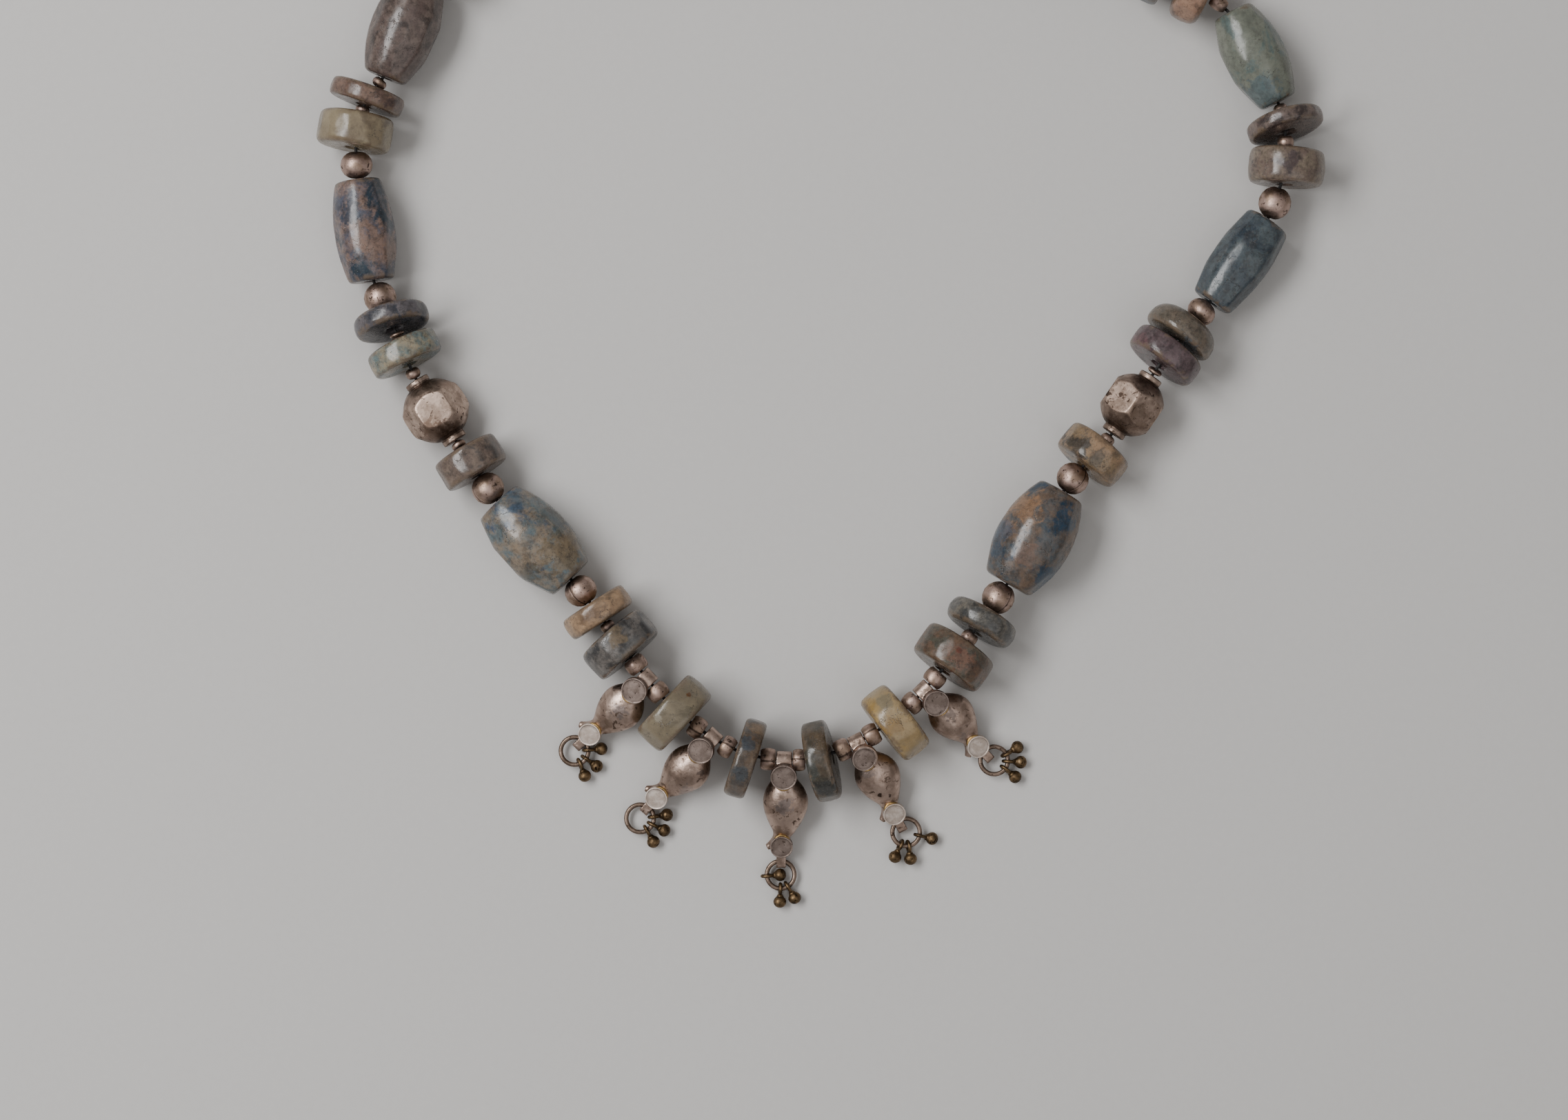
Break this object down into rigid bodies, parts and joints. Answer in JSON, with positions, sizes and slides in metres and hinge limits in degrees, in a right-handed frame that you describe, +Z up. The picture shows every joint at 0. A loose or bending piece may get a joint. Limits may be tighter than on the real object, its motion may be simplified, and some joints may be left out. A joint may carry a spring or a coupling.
{
  "type": "lapis lazuli necklace",
  "caption": "Strung necklace of mottled stone barrels and discs with round and faceted silver beads and mango-shaped silver drops that carry rings of tiny bells.",
  "frame": {"origin": "middle of the bottom of the box round the laid necklace, on the table", "axes": "+Z up from the table, -Y towards the drops at the front, +X to the wearer's left as laid"},
  "size_m": [0.1924, 0.2088, 0.0158],
  "materials": {
    "stone_blue": "hand-ground blue-grey stone with tan blotches, soft polish",
    "stone_green": "hand-ground green-grey stone with brown clouds, soft polish",
    "stone_olive": "hand-ground olive-grey stone with pale clouds, soft polish",
    "stone_tan": "hand-ground tan stone with ochre clouds, soft polish",
    "stone_mauve": "hand-ground brown-mauve stone with blue specks, soft polish",
    "stone_dark": "hand-ground dark blue-green stone, soft polish",
    "silver": "old silver, warm grey tarnish, worn bright on the high spots",
    "brass": "old brass with a brown patina, worn bright on the high spots",
    "thread": "black waxed cord"
  },
  "bodies": {
    "root": {"barrel_back_1": "stone_blue", "barrel_back_2": "stone_green", "barrel_back_3": "stone_mauve", "barrel_clasp": "silver", "barrel_left_1": "stone_green", "barrel_left_2": "stone_blue", "barrel_left_3": "stone_mauve", "barrel_right_1": "stone_blue", "barrel_right_2": "stone_blue", "barrel_right_3": "stone_green", "bells_1": "brass", "bells_2": "brass", "bells_3": "brass", "bells_4": "brass", "bells_5": "brass", "bun_stone_right": "stone_tan", "disc_back_1": "stone_blue", "disc_back_2": "stone_olive", "disc_back_3": "stone_mauve", "disc_back_4": "stone_green", "disc_back_5": "stone_tan", "disc_left_1": "stone_blue", "disc_left_10": "stone_olive", "disc_left_2": "stone_olive", "disc_left_3": "stone_dark", "disc_left_4": "stone_tan", "disc_left_5": "stone_tan", "disc_left_6": "stone_green", "disc_left_7": "stone_mauve", "disc_left_8": "stone_olive", "disc_left_9": "stone_mauve", "disc_right_1": "stone_green", "disc_right_2": "stone_olive", "disc_right_3": "stone_green", "disc_right_4": "stone_dark", "disc_right_5": "stone_tan", "disc_right_6": "stone_mauve", "disc_right_7": "stone_mauve", "disc_right_8": "stone_mauve", "disc_right_9": "stone_tan", "drop_spacers": "silver", "faceted_bead_left": "silver", "faceted_bead_right": "silver", "jump_ring_1": "silver", "jump_ring_2": "silver", "jump_ring_3": "silver", "jump_ring_4": "silver", "jump_ring_5": "silver", "mango_drop_1": "silver", "mango_drop_2": "silver", "mango_drop_3": "silver", "mango_drop_4": "silver", "mango_drop_5": "silver", "round_beads": "silver", "seed_beads": "silver", "thread": "thread"}
  },
  "joints": []
}
